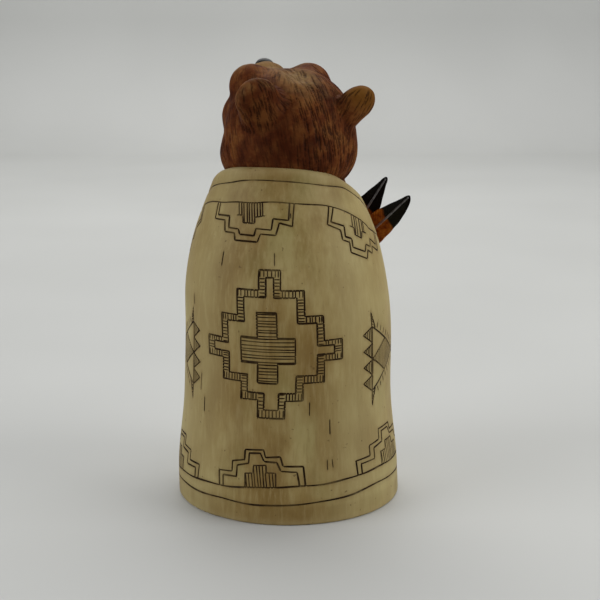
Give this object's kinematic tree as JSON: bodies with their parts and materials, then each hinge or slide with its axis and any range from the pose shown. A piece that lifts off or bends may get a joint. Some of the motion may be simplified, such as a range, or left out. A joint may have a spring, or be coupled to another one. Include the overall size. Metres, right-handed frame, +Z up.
{
  "type": "carved bear figurine",
  "caption": "Cast and painted bear figurine wrapped in an incised blanket, looking up, with two black-tipped feathers at its right side.",
  "frame": {"origin": "centre of the oval base, on the surface that the figurine stands on", "axes": "+Z up; the bear's body faces -Y and its left side is +X"},
  "size_m": [0.0575, 0.0626, 0.1094],
  "materials": {
    "blanket_resin": "satin cast resin, antiqued cream, incised lines stained dark brown",
    "fur_resin": "satin red-brown paint over carved fur",
    "peg_wood": "plain dowel",
    "black_gloss": "gloss black paint",
    "eye_glass": "gloss dark brown bead",
    "claw_horn": "dark horn, satin",
    "feather_gloss": "gloss paint, rust orange with black tips",
    "quill_grey": "gloss grey",
    "felt": "green wool felt"
  },
  "bodies": {
    "root": {"blanket": "blanket_resin", "torso": "fur_resin", "head": "fur_resin", "neck_peg": "peg_wood", "nose": "black_gloss", "left_eye": "eye_glass", "right_eye": "eye_glass", "left_ear": "fur_resin", "right_ear": "fur_resin", "left_foot": "fur_resin", "right_foot": "fur_resin", "left_foot_claws": "claw_horn", "right_foot_claws": "claw_horn", "left_paw": "fur_resin", "right_paw": "fur_resin", "left_paw_claws": "claw_horn", "right_paw_claws": "claw_horn", "upper_feather": "feather_gloss", "lower_feather": "feather_gloss", "upper_quill": "quill_grey", "lower_quill": "quill_grey", "felt_pad": "felt"}
  },
  "joints": []
}
